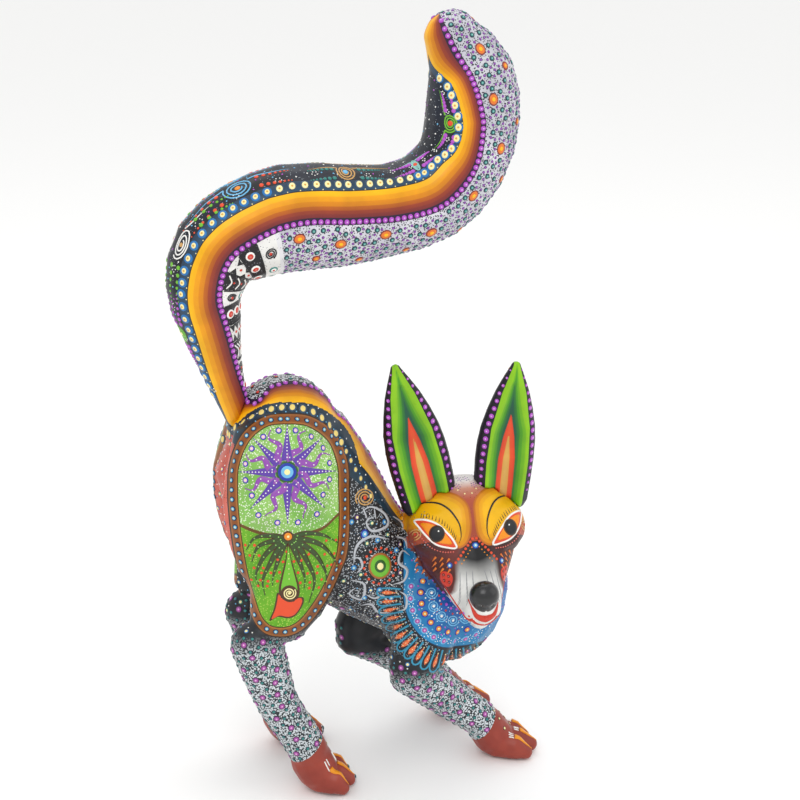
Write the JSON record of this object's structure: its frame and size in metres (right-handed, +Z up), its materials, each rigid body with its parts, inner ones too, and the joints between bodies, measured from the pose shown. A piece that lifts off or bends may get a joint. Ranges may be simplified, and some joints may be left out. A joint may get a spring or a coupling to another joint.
{
  "type": "carved fox figurine",
  "caption": "Carved and painted copal-wood fox in a play bow, looking over its shoulder, with tall ears and a big S-curved tail that plug in and pull off for packing.",
  "frame": {"origin": "middle of the finished figure's box, on the surface that its paws stand on", "axes": "+Z up along the height; +X the way the body points, from the tail's root to the forepaws; +Y the fox's left, so the head looks towards -Y"},
  "size_m": [0.2201, 0.1351, 0.4625],
  "materials": {
    "trunk_paint": "satin acrylic on wood, black ground with white feathers and a blue bib",
    "head_paint": "satin acrylic on wood, brick, orange and white",
    "ear_paint": "satin acrylic on wood, green, orange and black",
    "tail_paint": "satin acrylic on wood, orange band between a dark and a pale ground",
    "haunch_paint": "satin acrylic on wood, green",
    "foreleg_paint": "satin acrylic on wood, white stipple and terracotta paw",
    "raised_paint": "thick satin acrylic dots and lines in many colours",
    "bare_wood": "bare dry copal wood"
  },
  "bodies": {
    "figure": {"trunk": "trunk_paint", "head": "head_paint", "hind_leg_right": "haunch_paint", "hind_leg_left": "haunch_paint", "foreleg_right": "foreleg_paint", "foreleg_left": "foreleg_paint", "neck_dowel_front": "bare_wood", "neck_dowel_rear": "bare_wood", "hip_dowel_upper_right": "bare_wood", "hip_dowel_lower_right": "bare_wood", "hip_dowel_upper_left": "bare_wood", "hip_dowel_lower_left": "bare_wood", "shoulder_dowel_upper_right": "bare_wood", "shoulder_dowel_lower_right": "bare_wood", "shoulder_dowel_upper_left": "bare_wood", "shoulder_dowel_lower_left": "bare_wood"},
    "tail": {"tail": "tail_paint"},
    "ear_right": {"ear_right": "ear_paint"},
    "ear_left": {"ear_left": "ear_paint"}
  },
  "joints": [
    {"name": "tail_pull", "type": "slide", "parent": "figure", "child": "tail", "axis": [-0.2599, 0, 0.9656], "range_m": [0, 0.04]},
    {"name": "ear_right_pull", "type": "slide", "parent": "figure", "child": "ear_right", "axis": [-0.2472, 0.0064, 0.9689], "range_m": [0, 0.025]},
    {"name": "ear_left_pull", "type": "slide", "parent": "figure", "child": "ear_left", "axis": [0.0617, -0.0419, 0.9972], "range_m": [0, 0.025]}
  ]
}
